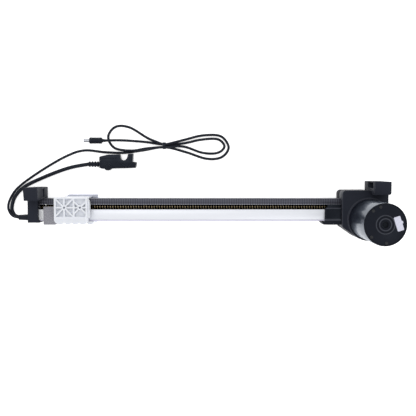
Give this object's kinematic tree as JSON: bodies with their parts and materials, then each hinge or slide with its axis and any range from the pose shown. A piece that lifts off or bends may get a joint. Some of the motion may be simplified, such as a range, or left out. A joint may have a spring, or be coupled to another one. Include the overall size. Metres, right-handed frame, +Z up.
{
  "type": "motorised linear slider",
  "caption": "Motorised linear slider: a lead screw between two aluminium profiles moves a white ribbed carriage, driven by a motor across one end, with two leads at the other.",
  "frame": {"origin": "under the middle of the object's box, without its leads, on the surface it lies on", "axes": "+X along the rail towards the motor, +Y towards the mounting blocks, +Z up along the motor's axis"},
  "size_m": [0.595, 0.1775, 0.142],
  "materials": {
    "dark_anodised": "dark anodised, satin",
    "bare_aluminium": "satin extrusion",
    "wire": "insulated wire",
    "black_nylon": "fine grained",
    "steel": "machined",
    "grey_buffer": "speckled",
    "white_plastic": "smooth",
    "bronze": "sintered",
    "black_enamel": "gloss black",
    "ferrite": "matt",
    "phenolic": "matt",
    "carbon": "matt",
    "paper": "blank sticker",
    "core_steel": "laminated",
    "copper": "enamelled wire and bars",
    "screw_steel": "rolled thread, greased",
    "wheel_nylon": "satin",
    "white_nylon": "slightly translucent",
    "nut_acetal": "smooth",
    "lead_rubber": "soft satin",
    "plug_plastic": "satin moulded",
    "plug_metal": "nickel plated",
    "contact_brass": "gold flashed"
  },
  "bodies": {
    "frame": {"guide_channel": "dark_anodised", "wire_duct": "bare_aluminium", "motor_wires": "wire", "end_bracket": "black_nylon", "end_bearing": "steel", "bracket_screws": "steel", "stop_buffer": "grey_buffer", "buffer_pin": "white_plastic", "limit_switches": "black_nylon", "rail_collar": "black_nylon", "housing_rear": "black_nylon", "housing_front": "black_nylon", "housing_screws": "steel", "drive_bearings": "steel", "worm_bush": "bronze", "mount_block": "black_nylon", "mount_block_screws": "steel", "motor_can": "black_enamel", "motor_magnets": "ferrite", "motor_end_cap": "black_enamel", "motor_cap_screws": "black_enamel", "motor_bushes": "bronze", "brush_holder": "phenolic", "brushes": "carbon", "brush_springs": "steel", "motor_label": "paper", "cable_gland": "lead_rubber", "thin_lead": "lead_rubber", "thick_lead": "lead_rubber", "lead_tie": "black_nylon", "dc_plug_body": "plug_plastic", "dc_plug_sleeve": "plug_metal", "dc_plug_contact": "contact_brass", "connector_boot": "lead_rubber", "connector_body": "plug_plastic", "connector_contacts": "contact_brass"},
    "rotor": {"worm_shaft": "steel", "armature_core": "core_steel", "armature_windings": "copper", "commutator": "copper"},
    "screw": {"lead_screw": "screw_steel", "worm_wheel": "wheel_nylon", "wheel_collar": "steel"},
    "carriage": {"carriage_front": "white_nylon", "carriage_back": "white_nylon", "drive_nut": "nut_acetal", "guide_pads": "nut_acetal", "carriage_screws": "steel"},
    "left_button": {"switch_button_left": "white_plastic"},
    "right_button": {"switch_button_right": "white_plastic"}
  },
  "joints": [
    {"name": "rotor_spin", "type": "hinge", "parent": "frame", "child": "rotor", "pos_m": [0.2435, -0.0125, 0.07], "axis": [0, 0, -1], "range_deg": [0, 979200]},
    {"name": "screw_spin", "type": "hinge", "parent": "frame", "child": "screw", "pos_m": [0, 0.0055, 0.024], "axis": [1, 0, 0], "range_deg": [-30605, 0]},
    {"name": "carriage_slide", "type": "slide", "parent": "frame", "child": "carriage", "axis": [1, 0, 0], "range_m": [0, 0.3402]},
    {"name": "left_switch_press", "type": "slide", "parent": "frame", "child": "left_button", "axis": [-1, 0, 0], "range_m": [0, 0.001], "stiffness_N_per_m": 300},
    {"name": "right_switch_press", "type": "slide", "parent": "frame", "child": "right_button", "axis": [1, 0, 0], "range_m": [0, 0.001], "stiffness_N_per_m": 300}
  ],
  "couplings": [
    {"joint": "screw_spin", "follows": "rotor_spin", "ratio": -0.03125},
    {"joint": "carriage_slide", "follows": "rotor_spin", "m_per_rad": 0.000019894}
  ]
}
